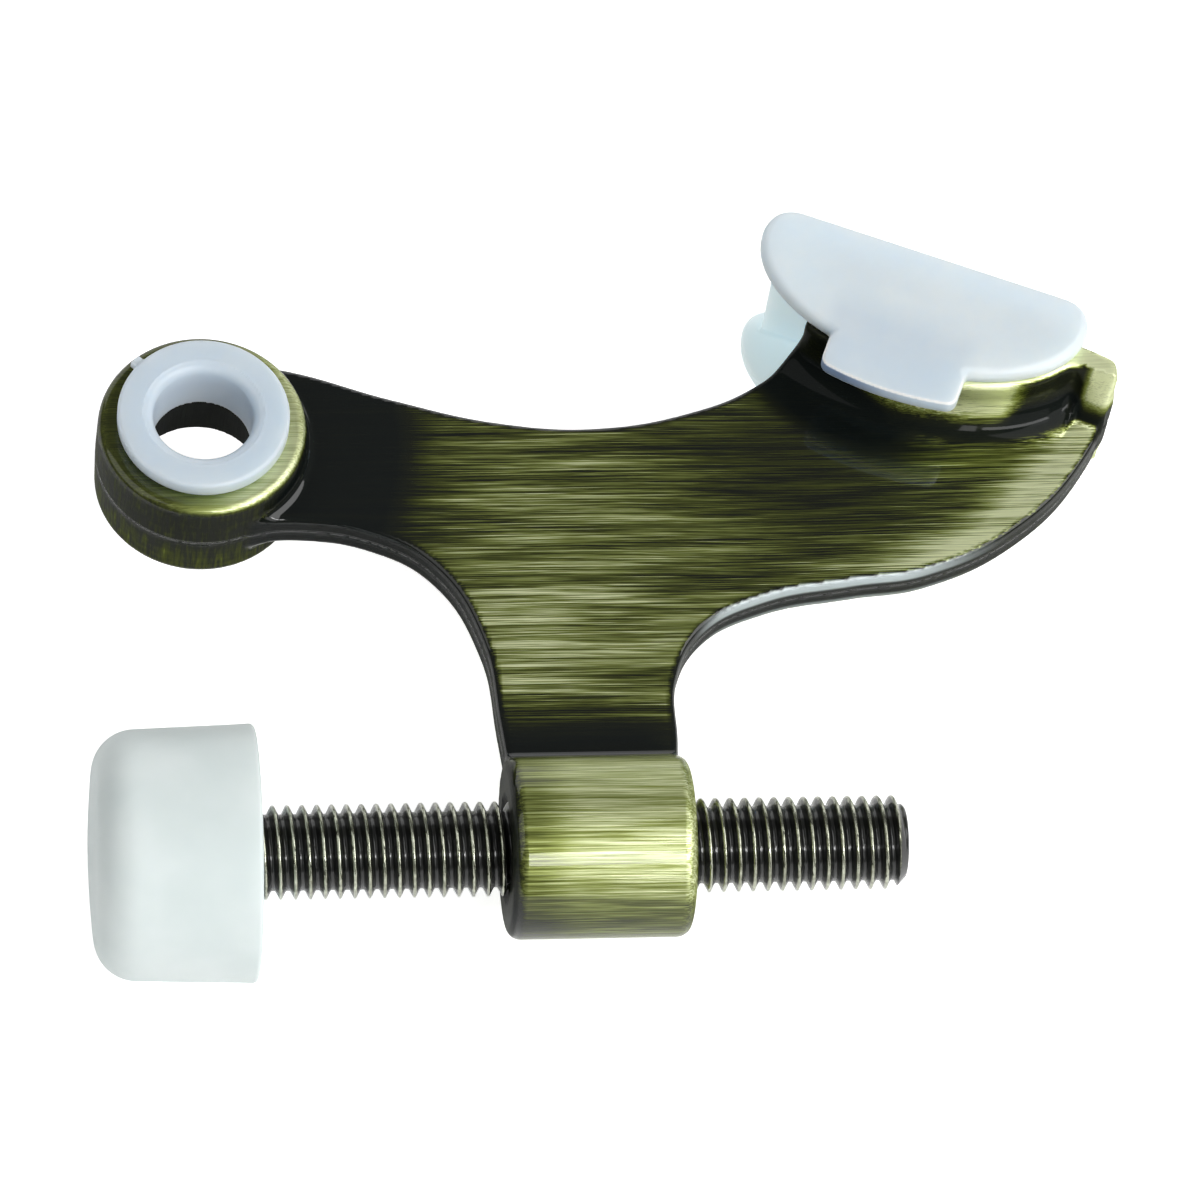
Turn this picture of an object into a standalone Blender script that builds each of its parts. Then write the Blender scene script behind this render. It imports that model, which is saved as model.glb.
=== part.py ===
"""Hinge-pin door stop.

A cast body hangs on a door's hinge pin. A long stud screws through the body's boss and
carries a soft bumper, which meets the wall. A clip-on pad covers the seat at the tip of
the wing, which meets the door. A flanged bush lines the top of the eye.

The origin is on the hinge pin's axis, half way up the eye. +Z runs up the pin, and +X runs
along the stud, away from its bumper. Lengths are in metres.
"""
import math

import bmesh
import bpy

MM = 0.001
FIT_GAP = 0.25 * MM            # room between two pieces that touch on the real object

# Eye, for the door's hinge pin
EYE_RADIUS = 9.1 * MM
EYE_HALF_HEIGHT = 5.0 * MM
EYE_BORE_RADIUS = 5.6 * MM
EYE_EDGE = 0.5 * MM

# Flanged bush in the top of the eye
BUSH_BORE_RADIUS = 4.3 * MM
BUSH_SLEEVE_RADIUS = EYE_BORE_RADIUS - FIT_GAP
BUSH_FLANGE_RADIUS = 7.4 * MM
BUSH_FLANGE_THICKNESS = 1.7 * MM
BUSH_LENGTH = 5.4 * MM
BUSH_EDGE = 0.5 * MM
BUSH_GATE_ANGLE = math.radians(135)
BUSH_GATE_LENGTH = 0.7 * MM    # how far the moulding gate's stub stands out of the flange
BUSH_GATE_ROOT = 1.0 * MM      # how far it reaches into the flange
BUSH_GATE_WIDTH = 1.1 * MM
BUSH_GATE_HEIGHT = 0.7 * MM
BUSH_GATE_DEPTH = 0.9 * MM     # its middle lies this far under the flange's top

# Thin web that joins the eye, the boss and the wing
WEB_HALF_THICKNESS = 1.85 * MM

# Boss, tapped for the stud
STUD_AXIS_Y = -39.1 * MM
BOSS_RADIUS = 7.7 * MM
BOSS_START_X = 24.1 * MM
BOSS_END_X = 39.6 * MM
BOSS_EDGE = 0.9 * MM

# Stud: M8 x 1.25, right-hand
PITCH = 1.25 * MM
CREST_RADIUS = 4.0 * MM
ROOT_RADIUS = 3.235 * MM
CREST_FLAT = PITCH / 8
ROOT_FLAT = PITCH / 4
THREAD_STEPS = 16              # flats in one turn
THREAD_START_X = 1.2 * MM
STUD_END_X = 58.0 * MM
STUD_END_RADIUS = 3.035 * MM
STUD_BLANK_RADIUS = 4.8 * MM   # clear of the crests; the blank's cones cut the end chamfers
NECK_RADIUS = 3.0 * MM
HEAD_RADIUS = 6.4 * MM
HEAD_THICKNESS = 2.6 * MM
HEAD_START_X = -8.6 * MM
HEAD_EDGE = 0.5 * MM
THREAD_PHASE = 0.13 * MM       # where turn 0 starts on X
SPARE_TURNS = 2                # turns past each end, cut away afterwards
TAP_CLEARANCE = 0.2 * MM       # radial room between the stud's thread and the boss's

# Bumper over the stud's head
BUMPER_FACE_X = -11.0 * MM
BUMPER_RIM_X = 3.0 * MM
BUMPER_RIM_RADIUS = 10.9 * MM
BUMPER_DRAFT = math.radians(1.9)
BUMPER_CORNER = 3.6 * MM
BUMPER_FACE_FLAT = 4.5 * MM    # radius of the flat in the middle of the crowned face
BUMPER_CROWN = 0.35 * MM
BUMPER_EDGE = 0.4 * MM

# Pad and seat: both are drawn in the seat's own frame. Its X runs along the face that
# meets the door, its -Y runs into the wing, and its origin is PAD_BACK inside that face.
SEAT_CENTRE = (64.1 * MM, 13.4 * MM)
SEAT_TURN = math.radians(-22.1)
PAD_HALF_WIDTH = 14.85 * MM
PAD_ARC_DEPTH = 8.75 * MM
PAD_ARC_CENTRE_DEPTH = 1.9 * MM
PAD_BACK = 0.7 * MM            # how far the pad stands out past the frame's origin
PAD_CORNER = 2.8 * MM
PAD_HALF_HEIGHT = 8.95 * MM
PAD_FLANGE_THICKNESS = 1.5 * MM
PAD_PLATE_THICKNESS = 1.8 * MM # measured in from the frame's origin
PAD_PLATE_INSET = 1.55 * MM
PAD_TAB_HALF_WIDTH = 6.15 * MM
PAD_TAB_REACH = 3.4 * MM       # how far a tab stands out past the flange's curve
PAD_CATCH_WIDTH = 9.4 * MM
PAD_CATCH_DEPTH = 1.1 * MM
PAD_CATCH_HEIGHT = 0.9 * MM
PAD_OVERLAP = 0.5 * MM         # how far the plate and the catches reach into the flanges
SEAT_HALF_HEIGHT = PAD_HALF_HEIGHT - PAD_FLANGE_THICKNESS - FIT_GAP
SEAT_BACK_DEPTH = PAD_PLATE_THICKNESS + FIT_GAP
SEAT_LIP = 0.3 * MM            # the seat's curve stands this far outside the flange's
SEAT_LEFT = -8.2 * MM
SEAT_RIGHT = 13.6 * MM
SEAT_BACK_END = 15.2 * MM

ROUND_SEGMENTS = 48
EDGE_SEGMENTS = 3
OUTLINE_RESOLUTION = 5         # straight steps between two points of a smooth outline
SEAT_STEPS = 14
PAD_CORNER_STEPS = 4
PAD_SIDE_STEPS = 7
PAD_TAB_STEPS = 6
WELD = 1e-7
SMOOTH_ANGLE = math.radians(32)

# Rim at the seat's tip, in millimetres in the seat's frame, from its front to its back
SEAT_RIM = [(14.6, -4.7), (15.5, -4.6), (16.5, -5.3), (17.6, -5.9), (18.6, -5.2), (18.9, -4.2),
            (18.1, -2.4)]

# Web outline, in millimetres, all the way round. "AUTO" points lie on a smooth curve,
# and "VECTOR" points are corners buried in the eye, the boss or the seat.
WEB_OUTLINE = [
    (1.6, 8.6, "VECTOR"), (7.6, 7.7, "AUTO"), (16.8, 4.6, "AUTO"), (26.1, 2.1, "AUTO"),
    (34.7, 1.5, "AUTO"), (43.4, 3.2, "AUTO"), (47.8, 5.1, "AUTO"), (51.9, 8.2, "AUTO"),
    (56.0, 12.4, "VECTOR"), (74.9, 5.8, "VECTOR"),
    (78.8, 4.1, "AUTO"), (79.2, 1.5, "AUTO"), (77.3, -2.7, "AUTO"), (70.7, -9.6, "AUTO"),
    (62.2, -13.8, "AUTO"), (55.6, -14.8, "AUTO"), (47.8, -16.3, "AUTO"), (42.4, -19.2, "AUTO"),
    (39.8, -24.0, "AUTO"), (39.5, -30.0, "AUTO"), (39.0, -35.0, "VECTOR"),
    (24.6, -35.0, "VECTOR"), (23.9, -27.6, "AUTO"), (23.0, -20.0, "AUTO"),
    (19.2, -12.5, "AUTO"), (14.0, -9.3, "AUTO"), (8.2, -8.2, "AUTO"), (3.7, -8.4, "VECTOR"),
]


# ---------------------------------------------------------------- scene and materials

def clear_scene():
    for item in list(bpy.data.objects):
        bpy.data.objects.remove(item, do_unlink=True)


def collection(name):
    made = bpy.data.collections.new(name)
    bpy.context.scene.collection.children.link(made)
    return made


def material(name, colour, roughness, metallic=0.0, transmission=0.0):
    made = bpy.data.materials.new(name)
    made.use_nodes = True
    shader = made.node_tree.nodes["Principled BSDF"]
    shader.inputs["Base Color"].default_value = (*colour, 1.0)
    shader.inputs["Roughness"].default_value = roughness
    shader.inputs["Metallic"].default_value = metallic
    shader.inputs["Transmission Weight"].default_value = transmission
    return made


def as_cutter(item, cutters):
    """Keep an object only as another one's tool: in the cutters, never rendered."""
    for owner in list(item.users_collection):
        owner.objects.unlink(item)
    cutters.objects.link(item)
    item.hide_render = True
    item.display_type = "WIRE"
    return item


# ---------------------------------------------------------------- shapes

def object_from_bmesh(name, shape, home):
    mesh = bpy.data.meshes.new(name)
    bmesh.ops.recalc_face_normals(shape, faces=shape.faces)
    shape.to_mesh(mesh)
    shape.free()
    made = bpy.data.objects.new(name, mesh)
    home.objects.link(made)
    return made


def freeze(item, home):
    """Turn an object with modifiers, or a curve, into a welded mesh object."""
    depsgraph = bpy.context.evaluated_depsgraph_get()
    mesh = bpy.data.meshes.new_from_object(item.evaluated_get(depsgraph))
    shape = bmesh.new()
    shape.from_mesh(mesh)
    bmesh.ops.remove_doubles(shape, verts=shape.verts, dist=WELD)
    frozen = object_from_bmesh(item.name + ".solid", shape, home)
    frozen.matrix_world = item.matrix_world.copy()
    name = item.name
    bpy.data.objects.remove(item, do_unlink=True)
    frozen.name = name
    return frozen


def cylinder(name, radius, length, edge, home):
    """A cylinder on Z, centred on the origin, with rounded rims."""
    shape = bmesh.new()
    bmesh.ops.create_cone(shape, cap_ends=True, segments=ROUND_SEGMENTS,
                          radius1=radius, radius2=radius, depth=length)
    if edge:
        rims = [line for line in shape.edges if abs(line.verts[0].co.z - line.verts[1].co.z) < WELD]
        bmesh.ops.bevel(shape, geom=rims, offset=edge, segments=EDGE_SEGMENTS, profile=0.5,
                        affect="EDGES")
    return object_from_bmesh(name, shape, home)


def box(name, size, centre, home):
    shape = bmesh.new()
    bmesh.ops.create_cube(shape, size=1.0)
    bmesh.ops.scale(shape, vec=size, verts=shape.verts)
    bmesh.ops.translate(shape, vec=centre, verts=shape.verts)
    return object_from_bmesh(name, shape, home)


def outline_plate(name, points, half_thickness, home):
    """A flat plate in XY from (x, y, handle) points, smooth where a handle is AUTO."""
    curve = bpy.data.curves.new(name, "CURVE")
    curve.dimensions = "2D"
    curve.fill_mode = "BOTH"
    curve.extrude = half_thickness
    curve.resolution_u = OUTLINE_RESOLUTION
    spline = curve.splines.new("BEZIER")
    spline.bezier_points.add(len(points) - 1)
    for knot, (x, y, handle) in zip(spline.bezier_points, points):
        knot.co = (x, y, 0.0)
        knot.handle_left_type = handle
        knot.handle_right_type = handle
    spline.use_cyclic_u = True
    item = bpy.data.objects.new(name, curve)
    home.objects.link(item)
    return freeze(item, home)


def turned(name, profile, axis, home):
    """Turn (along, radius) points about Z or X into a closed solid."""
    shape = bmesh.new()
    if axis == "Z":
        places = [(radius, 0.0, along) for along, radius in profile]
    else:
        places = [(along, 0.0, radius) for along, radius in profile]
    verts = [shape.verts.new(place) for place in places]
    for first, second in zip(verts, verts[1:]):
        shape.edges.new((first, second))
    if min(radius for _, radius in profile) > 0.0:
        shape.edges.new((verts[-1], verts[0]))
    mesh = bpy.data.meshes.new(name)
    shape.to_mesh(mesh)
    shape.free()
    item = bpy.data.objects.new(name, mesh)
    home.objects.link(item)
    screw = item.modifiers.new("Turn", "SCREW")
    screw.axis = axis
    screw.steps = ROUND_SEGMENTS
    screw.render_steps = ROUND_SEGMENTS
    screw.use_merge_vertices = True
    screw.merge_threshold = WELD
    return freeze(item, home)


def arc(centre, radius, start, end, steps):
    """Points on an arc of a turned profile; angles in degrees, 0 along the axis."""
    points = []
    for step in range(steps + 1):
        angle = math.radians(start + (end - start) * step / steps)
        points.append((centre[0] + radius * math.cos(angle), centre[1] + radius * math.sin(angle)))
    return points


def thread(name, start_x, end_x, clearance, home):
    """A rod with a right-hand thread on X that reaches past start_x and end_x. Turn 0 starts
    at THREAD_PHASE on every rod, so that a stud and the tool that taps its hole are in step."""
    first_turn = math.floor((start_x - THREAD_PHASE) / PITCH) - SPARE_TURNS
    last_turn = math.ceil((end_x - THREAD_PHASE) / PITCH) + SPARE_TURNS
    root = ROOT_RADIUS + clearance
    crest = CREST_RADIUS + clearance
    flank = (PITCH - CREST_FLAT - ROOT_FLAT) / 2
    places = [0.0, ROOT_FLAT, ROOT_FLAT + flank, ROOT_FLAT + flank + CREST_FLAT, PITCH]
    radii = [root, root, crest, crest, root]
    mesh = bpy.data.meshes.new(name)
    start = THREAD_PHASE + first_turn * PITCH
    verts = [(start + x, radius, 0.0) for x, radius in zip(places, radii)]
    mesh.from_pydata(verts, [(n, n + 1) for n in range(len(verts) - 1)], [])
    item = bpy.data.objects.new(name, mesh)
    home.objects.link(item)
    screw = item.modifiers.new("Helix", "SCREW")
    screw.axis = "X"
    screw.screw_offset = PITCH
    screw.iterations = last_turn - first_turn
    screw.steps = THREAD_STEPS
    screw.render_steps = THREAD_STEPS
    rod = freeze(item, home)
    shape = bmesh.new()
    shape.from_mesh(rod.data)
    open_edges = [line for line in shape.edges if line.is_boundary]
    bmesh.ops.holes_fill(shape, edges=open_edges, sides=0)
    bmesh.ops.triangulate(shape, faces=[face for face in shape.faces if len(face.verts) > 4])
    bmesh.ops.recalc_face_normals(shape, faces=shape.faces)
    shape.to_mesh(rod.data)
    shape.free()
    return rod


def combine(item, tool, operation):
    step = item.modifiers.new(operation.title() + " " + tool.name, "BOOLEAN")
    step.operation = operation
    step.solver = "EXACT"
    step.object = tool


def finish(item, name, look, home):
    """Name a sub-part, give it its material and collection, and shade it smooth."""
    for owner in list(item.users_collection):
        owner.objects.unlink(item)
    home.objects.link(item)
    item.name = name
    item.data.name = name
    item.data.materials.clear()
    item.data.materials.append(look)
    item.data.shade_smooth()
    item.data.set_sharp_from_angle(angle=SMOOTH_ANGLE)
    return item


# ---------------------------------------------------------------- outlines of seat and pad

def curve_depth(across, grow=0.0):
    """Depth of the flange's curved front edge, this far across from its middle."""
    share = min(1.0, abs(across) / (PAD_HALF_WIDTH + grow))
    return PAD_ARC_CENTRE_DEPTH + (PAD_ARC_DEPTH + grow) * math.sqrt(1.0 - share * share)


def flange_outline():
    """The D of a flange with its tab, in the seat's frame, as (x, y, handle)."""
    left = []
    for step in range(PAD_CORNER_STEPS + 1):
        turn = math.radians(90 + 90 * step / PAD_CORNER_STEPS)
        left.append((PAD_CORNER * (1.0 + math.cos(turn)) - PAD_HALF_WIDTH,
                     (PAD_ARC_CENTRE_DEPTH + PAD_BACK) * math.sin(turn) - PAD_ARC_CENTRE_DEPTH))
    tab_turn = math.acos(PAD_TAB_HALF_WIDTH / PAD_HALF_WIDTH)
    for step in range(1, PAD_SIDE_STEPS + 1):
        across = PAD_HALF_WIDTH * math.cos(tab_turn * step / PAD_SIDE_STEPS)
        left.append((-across, -curve_depth(across)))
    for step in range(PAD_TAB_STEPS // 2 + 1):
        across = PAD_TAB_HALF_WIDTH * (1.0 - 2.0 * step / PAD_TAB_STEPS)
        left.append((-across, -curve_depth(across, PAD_TAB_REACH)))
    right = [(-x, y) for x, y in reversed(left[:-1])]
    return [(x, y, "VECTOR") for x, y in left + right]


def seat_outline():
    """The raised seat on the wing's tip, in the seat's frame, as (x, y, handle)."""
    points = [(SEAT_BACK_END, -SEAT_BACK_DEPTH), (SEAT_LEFT, -SEAT_BACK_DEPTH)]
    for step in range(SEAT_STEPS + 1):
        across = SEAT_LEFT + (SEAT_RIGHT - SEAT_LEFT) * step / SEAT_STEPS
        points.append((across, -curve_depth(across, SEAT_LIP)))
    points += [(x * MM, y * MM) for x, y in SEAT_RIM]
    return [(x, y, "VECTOR") for x, y in points]


def place_in_seat_frame(item):
    item.location = (*SEAT_CENTRE, 0.0)
    item.rotation_euler = (0.0, 0.0, SEAT_TURN)
    bpy.context.view_layer.update()


# ---------------------------------------------------------------- sub-parts

def make_body_casting(home, cutters, look):
    web_points = [(x * MM, y * MM, handle) for x, y, handle in WEB_OUTLINE]
    casting = outline_plate("web", web_points, WEB_HALF_THICKNESS, home)

    eye = cylinder("eye_ring", EYE_RADIUS, 2 * EYE_HALF_HEIGHT, EYE_EDGE, cutters)
    boss = cylinder("boss_round", BOSS_RADIUS, BOSS_END_X - BOSS_START_X, BOSS_EDGE, cutters)
    boss.rotation_euler = (0.0, math.radians(90), 0.0)
    boss.location = ((BOSS_START_X + BOSS_END_X) / 2, STUD_AXIS_Y, 0.0)
    seat = outline_plate("seat_block", seat_outline(), SEAT_HALF_HEIGHT, cutters)
    place_in_seat_frame(seat)
    for lump in (eye, boss, seat):
        combine(casting, as_cutter(lump, cutters), "UNION")

    bore = cylinder("eye_bore", EYE_BORE_RADIUS, 4 * EYE_HALF_HEIGHT, 0.0, cutters)
    tap = thread("boss_tap", BOSS_START_X, BOSS_END_X, TAP_CLEARANCE, cutters)
    tap.location = (0.0, STUD_AXIS_Y, 0.0)
    for tool in (bore, tap):
        combine(casting, as_cutter(tool, cutters), "DIFFERENCE")
    return finish(casting, "body_casting", look, home)


def make_pin_bush(home, cutters, look):
    under = EYE_HALF_HEIGHT + FIT_GAP
    top = under + BUSH_FLANGE_THICKNESS
    end = top - BUSH_LENGTH
    rim = top - BUSH_EDGE
    profile = [(end, BUSH_BORE_RADIUS)]
    profile += arc((rim, BUSH_BORE_RADIUS + BUSH_EDGE), BUSH_EDGE, -90, 0, 2)
    profile += arc((rim, BUSH_FLANGE_RADIUS - BUSH_EDGE), BUSH_EDGE, 0, 90, 2)
    profile += [(under, BUSH_FLANGE_RADIUS), (under, BUSH_SLEEVE_RADIUS),
                (end, BUSH_SLEEVE_RADIUS)]
    bush = turned("bush", profile, "Z", home)
    gate_middle = BUSH_FLANGE_RADIUS + (BUSH_GATE_LENGTH - BUSH_GATE_ROOT) / 2
    gate = box("bush_gate", (BUSH_GATE_LENGTH + BUSH_GATE_ROOT, BUSH_GATE_WIDTH, BUSH_GATE_HEIGHT),
               (gate_middle, 0.0, top - BUSH_GATE_DEPTH), cutters)
    gate.rotation_euler = (0.0, 0.0, BUSH_GATE_ANGLE)
    combine(bush, as_cutter(gate, cutters), "UNION")
    return finish(bush, "pin_bush", look, home)


def make_adjusting_stud(home, cutters, look):
    stud = thread("stud_thread", THREAD_START_X, STUD_END_X, 0.0, home)
    cone = STUD_BLANK_RADIUS - STUD_END_RADIUS
    blank = turned("stud_blank", [
        (THREAD_START_X, 0.0), (THREAD_START_X, STUD_END_RADIUS),
        (THREAD_START_X + cone, STUD_BLANK_RADIUS), (STUD_END_X - cone, STUD_BLANK_RADIUS),
        (STUD_END_X, STUD_END_RADIUS), (STUD_END_X, 0.0)], "X", cutters)
    combine(stud, as_cutter(blank, cutters), "INTERSECT")
    head_end = HEAD_START_X + HEAD_THICKNESS
    rim_radius = HEAD_RADIUS - HEAD_EDGE
    neck_end = THREAD_START_X + PITCH
    head = turned("stud_head", [
        (HEAD_START_X, 0.0), (HEAD_START_X, rim_radius), (HEAD_START_X + HEAD_EDGE, HEAD_RADIUS),
        (head_end - HEAD_EDGE, HEAD_RADIUS), (head_end, rim_radius), (head_end, NECK_RADIUS),
        (neck_end, NECK_RADIUS), (neck_end, 0.0)], "X", cutters)
    combine(stud, as_cutter(head, cutters), "UNION")
    return finish(stud, "adjusting_stud", look, home)


def make_stud_bumper(home, look):
    side_end_x = BUMPER_FACE_X + BUMPER_CROWN + BUMPER_CORNER
    side_radius = BUMPER_RIM_RADIUS - (BUMPER_RIM_X - side_end_x) * math.tan(BUMPER_DRAFT)
    corner_centre = (side_end_x, side_radius - BUMPER_CORNER)
    rim_edge = (BUMPER_RIM_X - BUMPER_EDGE, BUMPER_RIM_RADIUS - BUMPER_EDGE)
    pocket_start = HEAD_START_X - FIT_GAP
    pocket_end = HEAD_START_X + HEAD_THICKNESS + FIT_GAP
    hole = NECK_RADIUS + FIT_GAP
    mouth = CREST_RADIUS + FIT_GAP
    mouth_x = THREAD_START_X - FIT_GAP
    profile = [(BUMPER_FACE_X, 0.0), (BUMPER_FACE_X, BUMPER_FACE_FLAT)]
    profile += arc(corner_centre, BUMPER_CORNER, 180, 90, 6)
    profile += arc(rim_edge, BUMPER_EDGE, 90, 0, 3)
    profile += [(BUMPER_RIM_X, mouth), (mouth_x, mouth), (mouth_x, hole), (pocket_end, hole),
                (pocket_end, HEAD_RADIUS + FIT_GAP), (pocket_start, HEAD_RADIUS + FIT_GAP),
                (pocket_start, 0.0)]
    bumper = turned("bumper", profile, "X", home)
    return finish(bumper, "stud_bumper", look, home)


def make_fixed_pad(home, cutters, look):
    flange_middle = PAD_HALF_HEIGHT - PAD_FLANGE_THICKNESS / 2
    plate_half_height = PAD_HALF_HEIGHT - PAD_FLANGE_THICKNESS + PAD_OVERLAP
    pad = box("pad_plate",
              (2 * (PAD_HALF_WIDTH - PAD_PLATE_INSET), PAD_BACK + PAD_PLATE_THICKNESS,
               2 * plate_half_height),
              (0.0, (PAD_BACK - PAD_PLATE_THICKNESS) / 2, 0.0), home)
    catch_middle = curve_depth(0.0, SEAT_LIP) + FIT_GAP + PAD_CATCH_DEPTH / 2
    catch_height = PAD_CATCH_HEIGHT + PAD_OVERLAP
    catch_z = plate_half_height - catch_height / 2
    for side in (-1, 1):
        flange = outline_plate("pad_flange", flange_outline(), PAD_FLANGE_THICKNESS / 2, cutters)
        flange.location = (0.0, 0.0, side * flange_middle)
        catch = box("pad_catch", (PAD_CATCH_WIDTH, PAD_CATCH_DEPTH, catch_height),
                    (0.0, -catch_middle, side * catch_z), cutters)
        for lump in (flange, catch):
            combine(pad, as_cutter(lump, cutters), "UNION")
            place_lump_with_pad(lump)
    place_in_seat_frame(pad)
    return finish(pad, "fixed_pad", look, home)


def place_lump_with_pad(lump):
    """Carry a lump drawn in the seat's frame to the place where the pad will be."""
    height = lump.location.z
    lump.location = (*SEAT_CENTRE, height)
    lump.rotation_euler = (0.0, 0.0, SEAT_TURN)


def main():
    clear_scene()
    home = collection("hinge_pin_door_stop")
    cutters = collection("cutters")
    brass = material("antique_brass", (0.21, 0.20, 0.07), 0.32, metallic=1.0)
    dark_brass = material("dark_antique_brass", (0.10, 0.085, 0.05), 0.38, metallic=1.0)
    nylon = material("natural_nylon", (0.63, 0.70, 0.77), 0.35, transmission=0.2)
    rubber = material("white_rubber", (0.80, 0.83, 0.80), 0.55)

    make_body_casting(home, cutters, brass)
    make_pin_bush(home, cutters, nylon)
    make_fixed_pad(home, cutters, nylon)

    stud_axis = bpy.data.objects.new("stud_axis", None)
    home.objects.link(stud_axis)
    stud_axis.location = (0.0, STUD_AXIS_Y, 0.0)
    bumper = make_stud_bumper(home, rubber)
    stud = make_adjusting_stud(home, cutters, dark_brass)
    for item in (bumper, stud):
        item.parent = stud_axis
    for tool_name in ("stud_blank", "stud_head"):
        bpy.data.objects[tool_name].parent = stud_axis


main()
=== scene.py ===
"""Hinge-pin door stop: detailed pieces, materials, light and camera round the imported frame.

Shapes are worked out in millimetres in the row frame and turned into metres when a mesh is made.
"""
import math

import bpy
import numpy as np
from mathutils import Matrix, Vector


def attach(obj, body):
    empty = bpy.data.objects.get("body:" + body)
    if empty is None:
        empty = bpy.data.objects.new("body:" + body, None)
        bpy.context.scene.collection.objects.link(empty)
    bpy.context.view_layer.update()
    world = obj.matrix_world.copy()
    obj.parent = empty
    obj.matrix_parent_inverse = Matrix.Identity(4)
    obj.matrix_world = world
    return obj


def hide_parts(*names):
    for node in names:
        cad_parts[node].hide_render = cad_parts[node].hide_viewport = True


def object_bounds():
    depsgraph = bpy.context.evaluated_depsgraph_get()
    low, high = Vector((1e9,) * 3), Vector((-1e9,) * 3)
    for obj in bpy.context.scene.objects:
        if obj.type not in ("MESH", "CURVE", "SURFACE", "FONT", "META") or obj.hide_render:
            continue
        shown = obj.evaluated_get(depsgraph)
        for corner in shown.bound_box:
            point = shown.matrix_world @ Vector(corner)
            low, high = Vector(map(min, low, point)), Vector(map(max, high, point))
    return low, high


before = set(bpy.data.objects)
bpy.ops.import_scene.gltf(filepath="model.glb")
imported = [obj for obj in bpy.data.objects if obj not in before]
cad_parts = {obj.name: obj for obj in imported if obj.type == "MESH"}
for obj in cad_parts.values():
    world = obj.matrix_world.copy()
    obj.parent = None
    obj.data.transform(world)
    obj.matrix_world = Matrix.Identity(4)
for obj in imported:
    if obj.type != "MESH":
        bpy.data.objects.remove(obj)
cad_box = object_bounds()

MM = 0.001

# ---------------------------------------------------------------- sizes, in millimetres

EYE_RADIUS = 9.1
EYE_HALF_HEIGHT = 5.0
EYE_BORE_RADIUS = 5.6
EYE_DRAFT = 0.02               # how much the eye's wall leans in, per mm away from the middle
EYE_EDGE = 0.85
EYE_BORE_EDGE = 0.35
EYE_JOIN = 1.0                 # radius of the hollow between the eye and the web
PARTING_DEPTH = 0.14
PARTING_HALF_WIDTH = 0.32

BUSH_BORE_RADIUS = 4.3
BUSH_SLEEVE_RADIUS = 5.35
BUSH_FLANGE_RADIUS = 7.4
BUSH_TOP = 6.95
BUSH_FLANGE_THICKNESS = 1.7
BUSH_LENGTH = 5.4
BUSH_LEAD_IN = 0.9             # rounding of the bore's mouth
BUSH_FLANGE_EDGE = 0.35
BUSH_SLEEVE_EDGE = 0.15
BUSH_GATE_ANGLE = math.radians(135)
BUSH_GATE_START = 6.0          # radius at the gate's root, inside the flange
BUSH_GATE_END = 8.1            # radius at the end of the gate's stub
BUSH_GATE_HALF_WIDTH = 0.5
BUSH_GATE_HALF_HEIGHT = 0.4
BUSH_GATE_DROP = 0.8           # from the bush's top down to the gate's middle
BUSH_GATE_EDGE = 0.12

WEB_HALF_THICKNESS = 1.85
WEB_EDGE = 0.7
STUD_AXIS_Y = -39.1
BOSS_RADIUS = 7.7
BOSS_START_X = 24.1
BOSS_END_X = 39.6
BOSS_MIDDLE_X = (BOSS_START_X + BOSS_END_X) / 2
BOSS_HALF_LENGTH = (BOSS_END_X - BOSS_START_X) / 2
BOSS_EDGE = 1.1
BOSS_BORE_RADIUS = 4.2
BOSS_COUNTERSINK = 0.5
BOSS_JOIN = 0.9                # radius of the hollow between the boss and the web

PITCH = 1.25
CREST_RADIUS = 4.0
ROOT_RADIUS = 3.235
CREST_FLAT = PITCH / 8
ROOT_FLAT = PITCH / 4
THREAD_PHASE = 0.13
THREAD_START_X = 1.2
THREAD_WEAR = 0.45             # how far below the crests the thread is rubbed bright
THREAD_RINGS = 690
STUD_END_X = 58.0
STUD_CHAMFER_RADIUS = 3.05     # radius of the stud's flat end
NECK_RADIUS = 3.0
HEAD_RADIUS = 6.4
HEAD_START_X = -8.6
HEAD_END_X = -6.0
HEAD_EDGE = 0.5
STUD_CENTRE_RADIUS = 0.4       # of the flat facet in the middle of each end
STUD_CREASE = math.radians(55)
STUD_SIDES = 72

BUMPER_FACE_X = -11.0
BUMPER_RIM_X = 3.0
BUMPER_RIM_RADIUS = 10.9
BUMPER_DRAFT = math.radians(1.9)
BUMPER_CORNER = 3.6
BUMPER_CROWN = 0.35
BUMPER_EDGE = 0.4
BUMPER_HOLE_RADIUS = 3.25
BUMPER_MOUTH_RADIUS = 4.25
BUMPER_MOUTH_EDGE = 0.25
BUMPER_POCKET_GAP = 0.25
BUMPER_CENTRE_RADIUS = 0.3     # of the flat facet in the middle of its face
BUMPER_CREASE = math.radians(40)
BUMPER_SIDES = 128

SEAT_CENTRE = (64.1, 13.4)
SEAT_TURN = math.radians(-22.1)
SEAT_HALF_HEIGHT = 7.2
SEAT_BACK_DEPTH = 2.05
SEAT_LEFT = -8.7
SEAT_RIGHT = 13.6
SEAT_LIP = 0.3
SEAT_EDGE = 0.6
SEAT_BACK_EDGE = 0.3
SEAT_FOOT = 3.6                # radius of the hollow between the seat and the web
SEAT_JOIN = 0.3                # radius in plan, where the seat's outline meets the web's
SEAT_BACK_END = 15.2
SEAT_RIM = [(14.6, -4.7), (15.5, -4.6), (16.5, -5.3), (17.6, -5.9), (18.6, -5.2), (18.9, -4.2),
            (18.1, -2.4)]
SEAT_RIM_START = (14.8, 16.2)  # the rim begins to fall away between these
SEAT_RIM_DEPTH = 4.2           # and only in front of this depth
SEAT_RIM_FALL = 3.0            # fall per mm of depth
PAD_HALF_WIDTH = 14.85
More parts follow.
